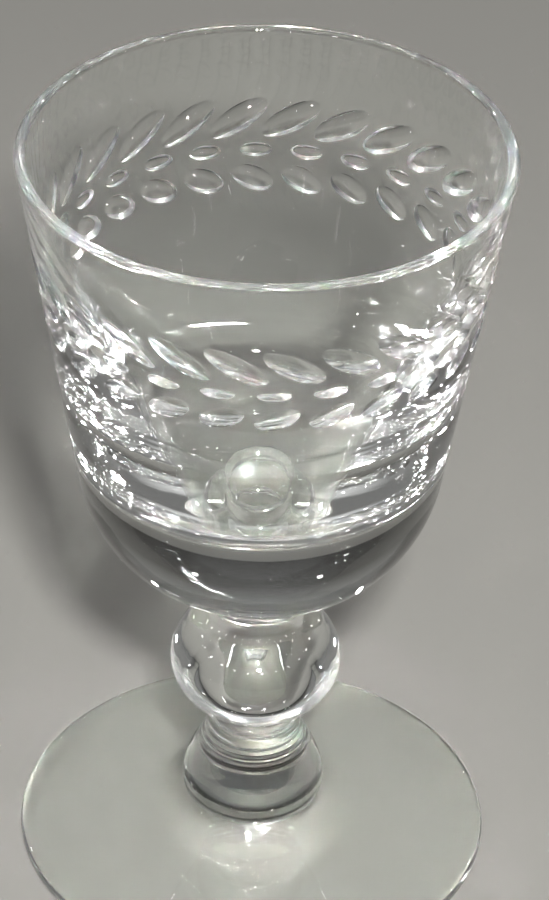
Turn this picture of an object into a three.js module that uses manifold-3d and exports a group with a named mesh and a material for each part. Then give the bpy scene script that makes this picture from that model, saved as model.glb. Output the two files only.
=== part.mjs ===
// Oyster cocktail glass: a cut bowl on a stem of two knops and a round foot.
// Millimetres, +Z up, the origin under the middle of the foot, where the glass stands.

import * as THREE from 'three';
import { mergeVertices } from 'three/addons/utils/BufferGeometryUtils.js';
import Module from 'manifold-3d';

const HEIGHT = 110.7; // of the whole glass, up to the rim

// Foot: a spread disc, slightly hollow beneath, with a flat ring that it stands on
const FOOT_RADIUS = 32.5;
const FOOT_EDGE = 1.5; // thickness at the rounded edge
const FOOT_HEIGHT = 6.4; // up to the flat seat that the stem is fused to
const FOOT_SHOULDER = 3.2; // width of the soft fillet round the stem
const FILLET_RISE = 0.4; // how far the fillet lifts above the foot's slope
const FOOT_REST = 2.2; // width of the flat ring underneath
const FOOT_HOLLOW = 1.5; // depth of the hollow underneath, at the middle

// Bell knop: the lower gather of the stem
const BELL_HEIGHT = 14.86;
const BELL_RADIUS = 9.8; // at the belly
const BELL_BELLY = 2.6; // height of the belly above the foot
const BELL_BASE_RADIUS = 9; // where it is fused to the foot
const BELLY_PULL = 3.8; // how far the belly's roundness carries up the side
const WAIST_PULL = 3.6; // how far the waist's straightness carries down it
const WAIST_RADIUS = 5.7; // between the two knops

// Ball knop: the upper gather, a flattened ball with a short neck
const BALL_RADIUS = 11.7;
const BALL_ROUND = 7.3; // radius of its rounded side
const WAIST_FILLET = 1.5; // radius of the fillet that runs the ball into the waist
const NECK_FILLET = 2; // radius of the fillet that runs it into the neck
const NECK_RADIUS = 6; // where the neck leaves the ball
const NECK_TOP_RADIUS = 6.6; // where it is fused to the bowl
const NECK_HEIGHT = 5.55;

// Bowl: a straight tapering wall on a rounded base, thick at the bottom and thin at the rim
const RIM_RADIUS = 32.1;
const RIM_WALL = 1.6; // wall thickness at the rim
const SHOULDER_RADIUS = 24.4; // where the wall runs into the base
const BASE_HEIGHT = 18.2; // from the neck up to there
const WELL_RADIUS = 18; // inside, where the side turns into the rounded bottom
const WELL_HEIGHT = 22.3; // from the neck up to there
const WELL_FLARE = 0.36; // how much the inside widens there with height
const WELL_ROUND = 0.6; // how full the corner of the bottom is
const FLOOR_THICKNESS = 16; // solid glass between the neck and the inside

// Laurel band: sprigs of three wheel-cut leaves, all pointing the same way round.
// Each leaf's rise is from the middle of the band, and its lead is along the band.
const LAUREL_DROP = 17.7; // from the rim down to the middle of the band
const SPRIG_PITCH = 7.1; // round the band
const LEAF_DEPTH = 0.7;
const UPPER_RISE = 4.5;
const UPPER_LEAD = 3.2;
const UPPER_LENGTH = 10;
const UPPER_WIDTH = 3.4;
const UPPER_TILT = 30; // degrees
const MIDDLE_RISE = 0;
const MIDDLE_LEAD = -1.6;
const MIDDLE_LENGTH = 4.4;
const MIDDLE_WIDTH = 2;
const MIDDLE_TILT = 0;
const LOWER_RISE = -4;
const LOWER_LEAD = -2;
const LOWER_LENGTH = 6.2;
const LOWER_WIDTH = 3.3;
const LOWER_TILT = -20;

// Facets round the glass, on each curve of a piece's outline, and on a leaf
const SEGMENTS = 60;
const FOOT_STEPS = 3;
const BELL_STEPS = 5;
const BALL_STEPS = 3;
const BOWL_STEPS = 4;
const LEAF_SIDES = 10;
const LEAF_RINGS = 5;

// Heights of the joints, where one piece is fused to the next
const bellSeat = FOOT_HEIGHT;
const ballSeat = bellSeat + BELL_HEIGHT;

// The ball's rounded side is an arc about this circle. It runs tangent into the fillets at
// the waist and the neck, and these lengths are from its middle to where the fillets end.
const ballRing = BALL_RADIUS - BALL_ROUND;
const waistReach = WAIST_RADIUS + WAIST_FILLET - ballRing;
const waistDrop = Math.sqrt((BALL_ROUND + WAIST_FILLET) ** 2 - waistReach ** 2);
const waistTurn = Math.atan2(waistDrop, waistReach);
const neckReach = NECK_RADIUS + NECK_FILLET - ballRing;
const neckRise = Math.sqrt((BALL_ROUND + NECK_FILLET) ** 2 - neckReach ** 2);
const neckTurn = Math.atan2(neckRise, neckReach);
const ballCentre = ballSeat + waistDrop;
const neckStart = ballCentre + neckRise;
const bowlSeat = neckStart + NECK_HEIGHT;

// The bowl's base is an arc that leaves the neck and runs tangent into the wall
const shoulder = bowlSeat + BASE_HEIGHT;
const taper = Math.atan((RIM_RADIUS - SHOULDER_RADIUS) / (HEIGHT - shoulder));
const baseReach = SHOULDER_RADIUS - NECK_TOP_RADIUS;
const baseRound = (baseReach ** 2 + BASE_HEIGHT ** 2) / 2
  / (baseReach * Math.cos(taper) - BASE_HEIGHT * Math.sin(taper));
const baseRing = SHOULDER_RADIUS - baseRound * Math.cos(taper);
const baseCentre = shoulder + baseRound * Math.sin(taper);
const baseStart = Math.atan2(baseCentre - bowlSeat, NECK_TOP_RADIUS - baseRing);

const wasm = await Module();
wasm.setup();

// A solid of revolution from an outline of radius against height, drawn up the outside,
// with so many steps on each curve of the outline and twice as many on each arc
function turned(outline, steps) {
  const geometry = new THREE.LatheGeometry(outline.getPoints(steps), SEGMENTS);
  geometry.rotateX(Math.PI / 2);
  return welded(geometry);
}

// Vertices shared, and the triangles that have shrunk to nothing on the axis left out
function welded(geometry) {
  geometry.deleteAttribute('normal');
  geometry.deleteAttribute('uv');
  const merged = mergeVertices(geometry, 1e-5);
  const corners = merged.index.array;
  const kept = [];
  for (let i = 0; i < corners.length; i += 3) {
    const [a, b, c] = corners.slice(i, i + 3);
    if (a !== b && b !== c && c !== a) kept.push(a, b, c);
  }
  merged.setIndex(kept);
  return merged;
}

function toSolid(geometry) {
  const vertProperties = new Float32Array(geometry.attributes.position.array);
  const triVerts = new Uint32Array(geometry.index.array);
  return new wasm.Manifold(new wasm.Mesh({ numProp: 3, vertProperties, triVerts }));
}

function toGeometry(solid) {
  const { vertProperties, triVerts } = solid.getMesh();
  const geometry = new THREE.BufferGeometry();
  geometry.setAttribute('position', new THREE.BufferAttribute(vertProperties, 3));
  geometry.setIndex(new THREE.BufferAttribute(triVerts, 1));
  return geometry;
}

function crystal() {
  return new THREE.MeshStandardMaterial({ color: 0xeef1ee, roughness: 0.03, metalness: 0 });
}

function piece(name, geometry) {
  geometry.computeVertexNormals();
  const mesh = new THREE.Mesh(geometry, crystal());
  mesh.name = name;
  return mesh;
}

function footOutline() {
  const edge = FOOT_EDGE / 2;
  const slope = (FOOT_HEIGHT - FOOT_EDGE) / (FOOT_RADIUS - BELL_BASE_RADIUS);
  const outline = new THREE.Path();
  outline.moveTo(0, FOOT_HOLLOW);
  outline.quadraticCurveTo(
    (FOOT_RADIUS - FOOT_REST) / 2, FOOT_HOLLOW,
    FOOT_RADIUS - edge - FOOT_REST, 0,
  );
  outline.lineTo(FOOT_RADIUS - edge, 0);
  outline.absarc(FOOT_RADIUS - edge, edge, edge, -Math.PI / 2, Math.PI / 2, false);
  outline.lineTo(BELL_BASE_RADIUS + FOOT_SHOULDER, FOOT_HEIGHT - slope * FOOT_SHOULDER - FILLET_RISE);
  outline.quadraticCurveTo(
    BELL_BASE_RADIUS + FOOT_SHOULDER / 3, FOOT_HEIGHT - FILLET_RISE,
    BELL_BASE_RADIUS, FOOT_HEIGHT,
  );
  outline.lineTo(0, FOOT_HEIGHT);
  return outline;
}

function bellOutline() {
  const belly = bellSeat + BELL_BELLY;
  const outline = new THREE.Path();
  outline.moveTo(0, bellSeat);
  outline.lineTo(BELL_BASE_RADIUS, bellSeat);
  outline.quadraticCurveTo(BELL_RADIUS, bellSeat + BELL_BELLY / 4, BELL_RADIUS, belly);
  outline.bezierCurveTo(
    BELL_RADIUS, belly + BELLY_PULL,
    WAIST_RADIUS, ballSeat - WAIST_PULL,
    WAIST_RADIUS, ballSeat,
  );
  outline.lineTo(0, ballSeat);
  return outline;
}

function ballOutline() {
  const outline = new THREE.Path();
  outline.moveTo(0, ballSeat);
  outline.lineTo(WAIST_RADIUS, ballSeat);
  outline.absarc(WAIST_RADIUS + WAIST_FILLET, ballSeat, WAIST_FILLET, Math.PI, Math.PI - waistTurn, true);
  outline.absarc(ballRing, ballCentre, BALL_ROUND, -waistTurn, neckTurn, false);
  outline.absarc(NECK_RADIUS + NECK_FILLET, neckStart, NECK_FILLET, Math.PI + neckTurn, Math.PI, true);
  outline.quadraticCurveTo(NECK_RADIUS, (neckStart + bowlSeat) / 2, NECK_TOP_RADIUS, bowlSeat);
  outline.lineTo(0, bowlSeat);
  return outline;
}

// Inside, the wall leaves the lip as thin as the rim and thickens down to the well
function bowlOutline() {
  const lip = RIM_WALL / 2;
  const inside = RIM_RADIUS - lip - lip * Math.cos(taper);
  const insideTop = HEIGHT - lip + lip * Math.sin(taper);
  const well = bowlSeat + WELL_HEIGHT;
  const floor = bowlSeat + FLOOR_THICKNESS;
  const third = (insideTop - well) / 3;
  const dip = (well - floor) * WELL_ROUND;
  const outline = new THREE.Path();
  outline.moveTo(0, bowlSeat);
  outline.lineTo(NECK_TOP_RADIUS, bowlSeat);
  outline.absarc(baseRing, baseCentre, baseRound, -baseStart, -taper, false);
  outline.absarc(RIM_RADIUS - lip, HEIGHT - lip, lip, -taper, Math.PI - taper, false);
  outline.bezierCurveTo(
    inside - third * Math.tan(taper), insideTop - third,
    WELL_RADIUS + third * WELL_FLARE, well + third,
    WELL_RADIUS, well,
  );
  outline.bezierCurveTo(
    WELL_RADIUS - dip * WELL_FLARE, well - dip,
    WELL_RADIUS * WELL_ROUND, floor,
    0, floor,
  );
  return outline;
}

// One leaf: the hollow that a round-edged wheel leaves, as the cap of an ellipsoid sunk in the wall.
// Its middle is as far outside the wall as the leaf is deep, and the wall cuts it at the leaf's outline.
function leafCutter({ rise, lead, length, width, tilt }, round) {
  const halfHeight = 2 * LEAF_DEPTH;
  const spread = Math.sqrt(1 - (LEAF_DEPTH / halfHeight) ** 2);
  const height = HEIGHT - LAUREL_DROP + rise;
  const radius = RIM_RADIUS - (HEIGHT - height) * Math.tan(taper);
  const angle = round - lead / radius;

  const out = new THREE.Vector3(Math.cos(angle), Math.sin(angle), -Math.tan(taper)).normalize();
  const back = new THREE.Vector3(-Math.sin(angle), Math.cos(angle), 0);
  const up = new THREE.Vector3().crossVectors(out, back);
  const turn = THREE.MathUtils.degToRad(tilt);
  const along = up.multiplyScalar(Math.sin(turn)).addScaledVector(back, -Math.cos(turn));
  const across = new THREE.Vector3().crossVectors(out, along);

  const geometry = new THREE.SphereGeometry(1, LEAF_SIDES, LEAF_RINGS);
  geometry.rotateX(Math.PI / 2);
  geometry.scale(length / 2 / spread, width / 2 / spread, halfHeight);
  const place = new THREE.Matrix4().makeBasis(along, across, out);
  place.setPosition(
    radius * Math.cos(angle) + out.x * LEAF_DEPTH,
    radius * Math.sin(angle) + out.y * LEAF_DEPTH,
    height + out.z * LEAF_DEPTH,
  );
  geometry.applyMatrix4(place);
  return toSolid(welded(geometry));
}

function cutBowl() {
  const leaves = [
    { rise: UPPER_RISE, lead: UPPER_LEAD, length: UPPER_LENGTH, width: UPPER_WIDTH, tilt: UPPER_TILT },
    { rise: MIDDLE_RISE, lead: MIDDLE_LEAD, length: MIDDLE_LENGTH, width: MIDDLE_WIDTH, tilt: MIDDLE_TILT },
    { rise: LOWER_RISE, lead: LOWER_LEAD, length: LOWER_LENGTH, width: LOWER_WIDTH, tilt: LOWER_TILT },
  ];
  const bandRadius = RIM_RADIUS - LAUREL_DROP * Math.tan(taper);
  const sprigs = Math.round(2 * Math.PI * bandRadius / SPRIG_PITCH);
  let bowl = toSolid(turned(bowlOutline(), BOWL_STEPS));
  for (let i = 0; i < sprigs; i += 1) {
    for (const leaf of leaves) {
      bowl = bowl.subtract(leafCutter(leaf, Math.PI / 2 + 2 * Math.PI * i / sprigs));
    }
  }
  return toGeometry(bowl);
}

const glass = new THREE.Group();
glass.add(
  piece('foot', turned(footOutline(), FOOT_STEPS)),
  piece('bell_knop', turned(bellOutline(), BELL_STEPS)),
  piece('ball_knop', turned(ballOutline(), BALL_STEPS)),
  piece('bowl', cutBowl()),
);

export default glass;
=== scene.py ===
from math import atan, atan2, ceil, cos, pi, radians, sin, sqrt, tan

import bmesh
import bpy
from mathutils import Matrix, Vector


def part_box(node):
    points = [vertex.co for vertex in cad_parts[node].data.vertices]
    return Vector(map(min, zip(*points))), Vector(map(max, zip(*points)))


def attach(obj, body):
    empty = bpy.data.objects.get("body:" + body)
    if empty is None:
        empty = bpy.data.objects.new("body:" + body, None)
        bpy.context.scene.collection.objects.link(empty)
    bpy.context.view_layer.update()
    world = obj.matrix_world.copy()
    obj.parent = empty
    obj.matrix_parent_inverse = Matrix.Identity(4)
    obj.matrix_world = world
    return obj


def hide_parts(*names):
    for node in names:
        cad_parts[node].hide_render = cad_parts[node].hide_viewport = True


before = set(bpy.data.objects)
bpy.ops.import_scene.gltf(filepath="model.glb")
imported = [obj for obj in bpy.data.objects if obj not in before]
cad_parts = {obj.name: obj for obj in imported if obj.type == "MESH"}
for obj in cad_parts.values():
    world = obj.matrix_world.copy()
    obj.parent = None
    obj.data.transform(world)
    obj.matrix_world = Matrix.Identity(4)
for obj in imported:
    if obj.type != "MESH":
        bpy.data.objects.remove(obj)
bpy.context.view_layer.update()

# An oyster cocktail glass of colourless lead crystal: a bowl cut with a laurel band,
# a ball knop over a bell knop, and a round foot, fused together. Sizes are in millimetres.
MM = 0.001

# Heights of the fused joints and of the rim, and the widest radii, from the frame
FOOT_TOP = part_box("foot")[1].z / MM
BELL_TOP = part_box("bell_knop")[1].z / MM
NECK_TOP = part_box("ball_knop")[1].z / MM
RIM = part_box("bowl")[1].z / MM
FOOT_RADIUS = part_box("foot")[1].x / MM
BELL_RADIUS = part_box("bell_knop")[1].x / MM
BALL_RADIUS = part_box("ball_knop")[1].x / MM

# Foot
FOOT_EDGE = 1.5  # thickness at the rounded edge
FOOT_FILLET = 3.2  # width of the soft fillet round the stem
FILLET_RISE = 0.4  # how far the fillet lifts above the foot's slope
FOOT_REST = 2.2  # width of the flat ring that it stands on
FOOT_HOLLOW = 1.5  # depth of the hollow underneath, at the middle

# Bell knop
BELL_BASE_RADIUS = 9.0  # where it is fused to the foot
BELL_BELLY = 2.6  # height of the belly above the foot
BELLY_PULL = 3.8  # how far the belly's roundness carries up the side
WAIST_PULL = 3.6  # how far the waist's straightness carries down it
WAIST_RADIUS = 5.7  # between the two knops

# Ball knop and its neck
BALL_ROUND = 7.3  # radius of its rounded side
WAIST_FILLET = 1.5
NECK_FILLET = 2.0
NECK_RADIUS = 6.0  # where the neck leaves the ball
NECK_TOP_RADIUS = 6.6  # where it is fused to the bowl

# Faint rings round the waist, from the jacks that turned it in
RING_LOW = 14.5
RING_HIGH = 24.5
RING_PITCH = 1.0
RING_DEPTH = 0.1
RING_STEP = 0.08

# Bowl
RIM_RADIUS = 32.1
RIM_WALL = 1.6  # wall thickness at the rim
SHOULDER_RADIUS = 24.4  # where the wall runs into the base
BASE_HEIGHT = 18.2  # from the neck up to there
WELL_RADIUS = 18.0  # inside, where the side turns into the rounded bottom
WELL_HEIGHT = 22.3  # from the neck up to there
WELL_FLARE = 0.36  # how much the inside widens there with height
WELL_ROUND = 0.6  # how full the corner of the bottom is
FLOOR_THICKNESS = 16.0  # solid glass between the neck and the inside
TAPER = atan((RIM_RADIUS - SHOULDER_RADIUS) / (RIM - NECK_TOP - BASE_HEIGHT))

# Laurel band: sprigs of three wheel-cut leaves (height above the middle of the band,
# lead along it, length, width, tilt in degrees)
LAUREL_DROP = 17.7
SPRIG_PITCH = 7.1
LEAF_DEPTH = 0.7
LEAVES = (
    (4.5, 3.2, 10.0, 3.4, 30.0),
    (0.0, -1.6, 4.4, 2.0, 0.0),
    (-4.0, -2.0, 6.2, 3.3, -20.0),
)

# Fineness of the surfaces: steps round the glass and along the outlines, and the faces of a leaf
ROUND_STEPS = 192
CURVE_STEP = 0.5
CURVE_LEAST = 4
STRAIGHT_STEP = 2.0
ARC_STEP = radians(5)
LEAF_SIDES = 40
LEAF_RINGS = 32
TOUCH = 0.001  # points nearer than this are one
SHARP_ANGLE = radians(14)  # edges that turn more than this stay crisp

# Glass, with its faint waves, and the floor
CRYSTAL_IOR = 1.54
WAVE_SIZE = 7.0
WAVE_HEIGHT = 0.05
FLOOR_RADIUS = 3000.0
FLOOR_SIDES = 64
FLOOR_GAP = 0.1  # under the foot

# Camera, fitted to the rim and foot in the photograph, and its image in pixels
IMAGE_HEIGHT = 900
FOCAL_PIXELS = 4300
SENSOR = 36.0
CAMERA_DISTANCE = 579.2
CAMERA_ELEVATION = radians(36.56)
CAMERA_ROLL = radians(1.48)
CAMERA_TARGET = 50.0
CAMERA_NEAR = 10.0
AIM_RIGHT = 1.92
AIM_UP = 11.39

# Lights, in metres and watts: one key lamp over the camera, and a ring of small lamps
# that only glint in the glass, open at the back, where the foot would mirror it
LAMP_AIM = Vector((0, 0, 0.06))
KEY_PLACE = Vector((0.05, -0.50, 0.52))
KEY_SIZE = 0.06
KEY_WATTS = 5.2
GLINTS = 14
GLINT_GAP = radians(80)
GLINT_ELEVATION = radians(35)
GLINT_DISTANCE = 0.7
GLINT_SIZE = 0.03
GLINT_WATTS = 0.1
LIGHT_BOUNCES = 40  # enough for light to pass all the walls of the glass
GLOSSY_BOUNCES = 24

# The room's grey by height, from the horizon (0) to the ceiling (1)
ROOM = (
    ("0c0c0c", 0.0), ("181818", 0.25), ("707070", 0.45),
    ("6c6c6c", 0.8), ("d8d8d8", 0.92), ("e4e4e4", 1.0),
)


def linear(code):
    """A linear colour from an sRGB hex code."""
    parts = [int(code[i:i + 2], 16) / 255 for i in (0, 2, 4)]
    return [p / 12.92 if p <= 0.04045 else ((p + 0.055) / 1.055) ** 2.4 for p in parts] + [1.0]


def node(tree, kind, **links):
    """Adds a node with its inputs, as values or as the sockets of other nodes."""
    made = tree.nodes.new(kind)
    for name, value in links.items():
        socket = made.inputs[name.replace("_", " ")]
        if isinstance(value, bpy.types.NodeSocket):
            tree.links.new(value, socket)
        else:
            socket.default_value = value
    return made


def new_material(name):
    """An empty material and its node tree."""
    material = bpy.data.materials.new(name)
    material.use_nodes = True
    material.node_tree.nodes.clear()
    return material, material.node_tree


def lead_crystal():
    """Lead crystal, blown and fire-polished: clear and bright, with faint waves from the making."""
    material, tree = new_material("lead_crystal")
    place = node(tree, "ShaderNodeTexCoord")
    waves = node(
        tree, "ShaderNodeTexNoise", Vector=place.outputs["Object"],
        Scale=1 / (WAVE_SIZE * MM), Detail=2.0,
    )
    bump = node(
        tree, "ShaderNodeBump", Height=waves.outputs["Fac"],
        Strength=0.4, Distance=WAVE_HEIGHT * MM,
    )
    glass = node(
        tree, "ShaderNodeBsdfPrincipled", Base_Color=linear("fbfdfb"), Roughness=0.0,
        IOR=CRYSTAL_IOR, Transmission_Weight=1.0, Normal=bump.outputs["Normal"],
    )
    node(tree, "ShaderNodeOutputMaterial", Surface=glass.outputs["BSDF"])
    return material


def fused_joint():
    """The plane where two gathers were fused: the glass runs on, so nothing shows there."""
    material, tree = new_material("fused_joint")
    clear = node(tree, "ShaderNodeBsdfPrincipled", Alpha=0.0)
    node(tree, "ShaderNodeOutputMaterial", Surface=clear.outputs["BSDF"])
    return material


def arc(centre, radius, start, end):
    """Points of an outline along a circular arc, from start to end."""
    steps = max(ceil(abs(end - start) / ARC_STEP), round(radius * abs(end - start) / CURVE_STEP))
    angles = [start + (end - start) * i / steps for i in range(steps + 1)]
    return [(centre[0] + radius * cos(a), centre[1] + radius * sin(a)) for a in angles]


def bezier(*points):
    """Points of an outline along a curve with the given control points."""
    reach = sum((Vector(b) - Vector(a)).length for a, b in zip(points, points[1:]))
    steps = max(CURVE_LEAST, round(reach / CURVE_STEP))
    made = []
    for i in range(steps + 1):
        level = [Vector(p) for p in points]
        while len(level) > 1:
            level = [a.lerp(b, i / steps) for a, b in zip(level, level[1:])]
        made.append(tuple(level[0]))
    return made


def straight(start, end, step):
    """Points of an outline along a line, about a step apart."""
    steps = max(1, round((Vector(end) - Vector(start)).length / step))
    return [tuple(Vector(start).lerp(Vector(end), i / steps)) for i in range(steps + 1)]


def turned(outline):
    """A closed surface of revolution from an outline of radius against height."""
    bm = bmesh.new()
    corners = [bm.verts.new((r * MM, 0.0, z * MM)) for r, z in outline]
    edges = [bm.edges.new(pair) for pair in zip(corners, corners[1:]) if pair[0].co != pair[1].co]
    bmesh.ops.spin(
        bm, geom=corners + edges, axis=(0, 0, 1), cent=(0, 0, 0), angle=2 * pi,
        steps=ROUND_STEPS, use_merge=True,
    )
    bmesh.ops.remove_doubles(bm, verts=bm.verts, dist=TOUCH * MM)
    bmesh.ops.recalc_face_normals(bm, faces=bm.faces)
    return bm


def finish_piece(name, bm, joints):
    """Makes the piece's object: the faces at the heights of its joints are fused, the rest crystal."""
    mesh = bpy.data.meshes.new(name)
    for face in bm.faces:
        face.smooth = True
        if any(all(abs(v.co.z - z * MM) < TOUCH * MM for v in face.verts) for z in joints):
            face.material_index = 1
    bm.to_mesh(mesh)
    bm.free()
    piece = bpy.data.objects.new(name, mesh)
    bpy.context.collection.objects.link(piece)
    for material in (CRYSTAL, JOINT):
        mesh.materials.append(material)
    return piece


def stand_for(piece, node_name):
    """Puts a finished piece in the place of a node of the frame."""
    piece.data.set_sharp_from_angle(angle=SHARP_ANGLE)
    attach(piece, "root")
    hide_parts(node_name)


def ring_depth(height):
    """How deep the tooled rings are at a height: they fade out above and below."""
    if not RING_LOW < height < RING_HIGH:
        return 0
    fade = sqrt(sin(pi * (height - RING_LOW) / (RING_HIGH - RING_LOW)))
    return RING_DEPTH * fade * (1 - cos(2 * pi * (height - RING_LOW) / RING_PITCH)) / 2


def tooled(outline):
    """The outline with the rings round its waist, on points close enough to carry them."""
    made = []
    for start, end in zip(outline, outline[1:]):
        low, high = sorted((start[1], end[1]))
        ringed = low < high and low < RING_HIGH and high > RING_LOW
        made += straight(start, end, RING_STEP)[:-1] if ringed else [start]
    made.append(outline[-1])
    return [(max(0, r - ring_depth(z)), z) for r, z in made]


def foot_outline():
    """Underneath, a hollow inside the flat ring. Above, a slope that a fillet lifts to the stem."""
    edge = FOOT_EDGE / 2
    slope = (FOOT_TOP - FOOT_EDGE) / (FOOT_RADIUS - BELL_BASE_RADIUS)
    fillet_start = (BELL_BASE_RADIUS + FOOT_FILLET, FOOT_TOP - slope * FOOT_FILLET - FILLET_RISE)
    rest_edge = FOOT_RADIUS - edge
    return (
        bezier((0, FOOT_HOLLOW), ((FOOT_RADIUS - FOOT_REST) / 2, FOOT_HOLLOW),
               (rest_edge - FOOT_REST, 0))
        + [(rest_edge, 0)]
        + arc((rest_edge, edge), edge, -pi / 2, pi / 2)[1:]
        + straight((rest_edge, FOOT_EDGE), fillet_start, STRAIGHT_STEP)[1:]
        + bezier(fillet_start, (BELL_BASE_RADIUS + FOOT_FILLET / 3, FOOT_TOP - FILLET_RISE),
                 (BELL_BASE_RADIUS, FOOT_TOP))[1:]
        + [(0, FOOT_TOP)]
    )


def bell_outline():
    """The belly rounds out above the foot, and the side draws in to the waist."""
    belly = FOOT_TOP + BELL_BELLY
    return (
        [(0, FOOT_TOP)]
        + bezier((BELL_BASE_RADIUS, FOOT_TOP), (BELL_RADIUS, FOOT_TOP + BELL_BELLY / 4),
                 (BELL_RADIUS, belly))
        + bezier((BELL_RADIUS, belly), (BELL_RADIUS, belly + BELLY_PULL),
                 (WAIST_RADIUS, BELL_TOP - WAIST_PULL), (WAIST_RADIUS, BELL_TOP))[1:]
        + [(0, BELL_TOP)]
    )


def ball_outline():
    """The ball's side is an arc, which fillets run into the waist and the neck."""
    ring = BALL_RADIUS - BALL_ROUND
    waist = WAIST_RADIUS + WAIST_FILLET
    waist_drop = sqrt((BALL_ROUND + WAIST_FILLET) ** 2 - (waist - ring) ** 2)
    waist_turn = atan2(waist_drop, waist - ring)
    centre = BELL_TOP + waist_drop
    neck = NECK_RADIUS + NECK_FILLET
    neck_rise = sqrt((BALL_ROUND + NECK_FILLET) ** 2 - (neck - ring) ** 2)
    neck_turn = atan2(neck_rise, neck - ring)
    neck_start = centre + neck_rise
    return (
        [(0, BELL_TOP)]
        + arc((waist, BELL_TOP), WAIST_FILLET, pi, pi - waist_turn)
        + arc((ring, centre), BALL_ROUND, -waist_turn, neck_turn)[1:]
        + arc((neck, neck_start), NECK_FILLET, pi + neck_turn, pi)[1:]
        + bezier((NECK_RADIUS, neck_start), (NECK_RADIUS, (neck_start + NECK_TOP) / 2),
                 (NECK_TOP_RADIUS, NECK_TOP))[1:]
        + [(0, NECK_TOP)]
    )


def bowl_outline():
    """Outside, an arc runs tangent into the wall. Inside, the wall thickens down to the well."""
    shoulder = NECK_TOP + BASE_HEIGHT
    reach = SHOULDER_RADIUS - NECK_TOP_RADIUS
    base_round = (reach ** 2 + BASE_HEIGHT ** 2) / 2 / (reach * cos(TAPER) - BASE_HEIGHT * sin(TAPER))
    ring = SHOULDER_RADIUS - base_round * cos(TAPER)
    centre = shoulder + base_round * sin(TAPER)
    start = atan2(centre - NECK_TOP, NECK_TOP_RADIUS - ring)
    lip = RIM_WALL / 2
    lip_arc = arc((RIM_RADIUS - lip, RIM - lip), lip, -TAPER, pi - TAPER)
    lip_end = Vector(lip_arc[-1])
    well = Vector((WELL_RADIUS, NECK_TOP + WELL_HEIGHT))
    flare = Vector((WELL_FLARE, 1))
    floor = NECK_TOP + FLOOR_THICKNESS
    third = (lip_end.y - well.y) / 3
    dip = (well.y - floor) * WELL_ROUND
    return (
        [(0, NECK_TOP)]
        + arc((ring, centre), base_round, -start, -TAPER)
        + straight((SHOULDER_RADIUS, shoulder), lip_arc[0], STRAIGHT_STEP)[1:]
        + lip_arc[1:]
        + bezier(lip_end, lip_end - Vector((tan(TAPER), 1)) * third, well + flare * third, well)[1:]
        + bezier(well, well - flare * dip, (WELL_RADIUS * WELL_ROUND, floor), (0, floor))[1:]
    )


def leaf_cutters():
    """All the leaves of the band: ellipsoids sunk in the wall by the leaves' depth."""
    half_height = 2 * LEAF_DEPTH
    spread = sqrt(1 - (LEAF_DEPTH / half_height) ** 2)
    band_radius = RIM_RADIUS - LAUREL_DROP * tan(TAPER)
    sprigs = round(2 * pi * band_radius / SPRIG_PITCH)
    ball = bmesh.new()
    bmesh.ops.create_uvsphere(ball, u_segments=LEAF_SIDES, v_segments=LEAF_RINGS, radius=1)
    ball_mesh = bpy.data.meshes.new("ball")
    ball.to_mesh(ball_mesh)
    ball.free()
    bm = bmesh.new()
    for i in range(sprigs):
        for rise, lead, length, width, tilt in LEAVES:
            height = RIM - LAUREL_DROP + rise
            radius = RIM_RADIUS - (RIM - height) * tan(TAPER)
            angle = pi / 2 + 2 * pi * i / sprigs - lead / radius
            out = Vector((cos(angle), sin(angle), -tan(TAPER))).normalized()
            back = Vector((-sin(angle), cos(angle), 0))
            along = out.cross(back) * sin(radians(tilt)) - back * cos(radians(tilt))
            across = out.cross(along)
            middle = Vector((radius * cos(angle), radius * sin(angle), height)) + out * LEAF_DEPTH
            size = Matrix.Diagonal((length / 2 / spread, width / 2 / spread, half_height, 1))
            place = Matrix((along, across, out)).transposed().to_4x4()
            place.translation = middle
            leaf = ball_mesh.copy()
            leaf.transform(Matrix.Scale(MM, 4) @ place @ size)
            bm.from_mesh(leaf)
            bpy.data.meshes.remove(leaf)
    bpy.data.meshes.remove(ball_mesh)
    return bm


def make_bowl():
    """The bowl with the laurel band cut into it."""
    bowl = finish_piece("bowl_glass", turned(bowl_outline()), [NECK_TOP])
    cutter = finish_piece("leaves", leaf_cutters(), [])
    cut = bowl.modifiers.new("laurel", "BOOLEAN")
    cut.operation = "DIFFERENCE"
    cut.solver = "MANIFOLD"
    cut.object = cutter
    graph = bpy.context.evaluated_depsgraph_get()
    result = bpy.data.meshes.new_from_object(bowl.evaluated_get(graph))
    bowl.modifiers.clear()
    bowl.data = result
    bpy.data.objects.remove(cutter)
    return bowl


def make_floor():
    """A plain pale floor that the glass stands on."""
    material, tree = new_material("pale_floor")
    paint = node(tree, "ShaderNodeBsdfPrincipled", Base_Color=linear("aaa8a2"), Roughness=0.6)
    node(tree, "ShaderNodeOutputMaterial", Surface=paint.outputs["BSDF"])
    bm = bmesh.new()
    bmesh.ops.create_circle(bm, cap_ends=True, segments=FLOOR_SIDES, radius=FLOOR_RADIUS * MM)
    bmesh.ops.translate(bm, verts=bm.verts, vec=(0, 0, -FLOOR_GAP * MM))
    mesh = bpy.data.meshes.new("floor")
    bm.to_mesh(mesh)
    bm.free()
    mesh.materials.append(material)
    floor = bpy.data.objects.new("floor", mesh)
    bpy.context.collection.objects.link(floor)


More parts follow.
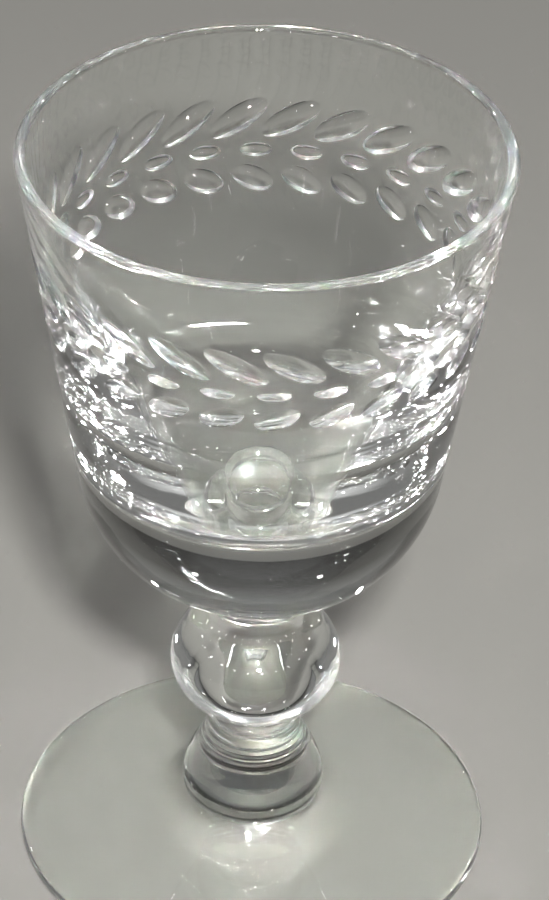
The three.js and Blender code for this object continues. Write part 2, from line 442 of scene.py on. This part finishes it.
def make_camera():
    """The photograph's view: from the front and above, a little rolled and off centre."""
    x_axis, up_axis = Vector((1, 0, 0)), Vector((0, 0, 1))
    back = Vector((0, -cos(CAMERA_ELEVATION), sin(CAMERA_ELEVATION)))
    target = Vector((0, 0, CAMERA_TARGET))
    place = target + CAMERA_DISTANCE * back
    aim = target + AIM_RIGHT * x_axis + AIM_UP * back.cross(x_axis)
    back = (place - aim).normalized()
    level = up_axis.cross(back).normalized()
    upright = back.cross(level)
    right = cos(CAMERA_ROLL) * level + sin(CAMERA_ROLL) * upright
    upward = cos(CAMERA_ROLL) * upright - sin(CAMERA_ROLL) * level
    data = bpy.data.cameras.new("camera")
    data.sensor_width = SENSOR
    data.lens = FOCAL_PIXELS / IMAGE_HEIGHT * SENSOR
    data.clip_start = CAMERA_NEAR * MM
    camera = bpy.data.objects.new("camera", data)
    facing = Matrix((right, upward, back)).transposed().to_4x4()
    camera.matrix_world = Matrix.Translation(place * MM) @ facing
    bpy.context.collection.objects.link(camera)
    bpy.context.scene.camera = camera


def add_lamp(name, place, size, watts):
    """A round lamp that shines on the middle of the glass."""
    data = bpy.data.lights.new(name, "AREA")
    data.shape = "DISK"
    data.size = size
    data.energy = watts
    lamp = bpy.data.objects.new(name, data)
    lamp.location = place
    lamp.rotation_mode = "QUATERNION"
    lamp.rotation_quaternion = (LAMP_AIM - place).to_track_quat("-Z", "Y")
    bpy.context.collection.objects.link(lamp)
    return lamp


def light_scene():
    """The lamps, with light paths long and sharp enough for clear glass."""
    scene = bpy.context.scene
    scene.view_settings.view_transform = "Standard"
    scene.cycles.max_bounces = LIGHT_BOUNCES
    scene.cycles.transmission_bounces = LIGHT_BOUNCES
    scene.cycles.glossy_bounces = GLOSSY_BOUNCES
    scene.cycles.transparent_max_bounces = LIGHT_BOUNCES
    scene.cycles.blur_glossy = 0.0
    scene.cycles.sample_clamp_indirect = 0.0
    scene.cycles.use_guiding = True
    add_lamp("key", KEY_PLACE, KEY_SIZE, KEY_WATTS)
    for i in range(GLINTS):
        turn = pi / 2 + GLINT_GAP / 2 + (2 * pi - GLINT_GAP) * i / (GLINTS - 1)
        level = Vector((cos(turn), sin(turn), 0)) * cos(GLINT_ELEVATION)
        place = LAMP_AIM + (level + Vector((0, 0, sin(GLINT_ELEVATION)))) * GLINT_DISTANCE
        glint = add_lamp("glint", place, GLINT_SIZE, GLINT_WATTS)
        glint.visible_diffuse = False


def make_room():
    """A plain room: dark at the horizon, grey walls and a pale ceiling."""
    world = bpy.data.worlds.new("room")
    bpy.context.scene.world = world
    world.use_nodes = True
    tree = world.node_tree
    place = node(tree, "ShaderNodeTexCoord")
    parts = node(tree, "ShaderNodeSeparateXYZ", Vector=place.outputs["Generated"])
    grey = node(tree, "ShaderNodeValToRGB", Fac=parts.outputs["Z"])
    stops = grey.color_ramp.elements
    while len(stops) < len(ROOM):
        stops.new(1.0)
    for stop, (code, height) in zip(stops, ROOM):
        stop.position = height
        stop.color = linear(code)
    tree.links.new(grey.outputs["Color"], tree.nodes["Background"].inputs["Color"])


CRYSTAL = lead_crystal()
JOINT = fused_joint()
make_camera()
light_scene()
make_room()
make_floor()
foot_glass = finish_piece("foot_glass", turned(foot_outline()), [FOOT_TOP])
stand_for(foot_glass, "foot")
bell_glass = finish_piece("bell_knop_glass", turned(tooled(bell_outline())), [FOOT_TOP, BELL_TOP])
stand_for(bell_glass, "bell_knop")
ball_glass = finish_piece("ball_knop_glass", turned(tooled(ball_outline())), [BELL_TOP, NECK_TOP])
stand_for(ball_glass, "ball_knop")
stand_for(make_bowl(), "bowl")
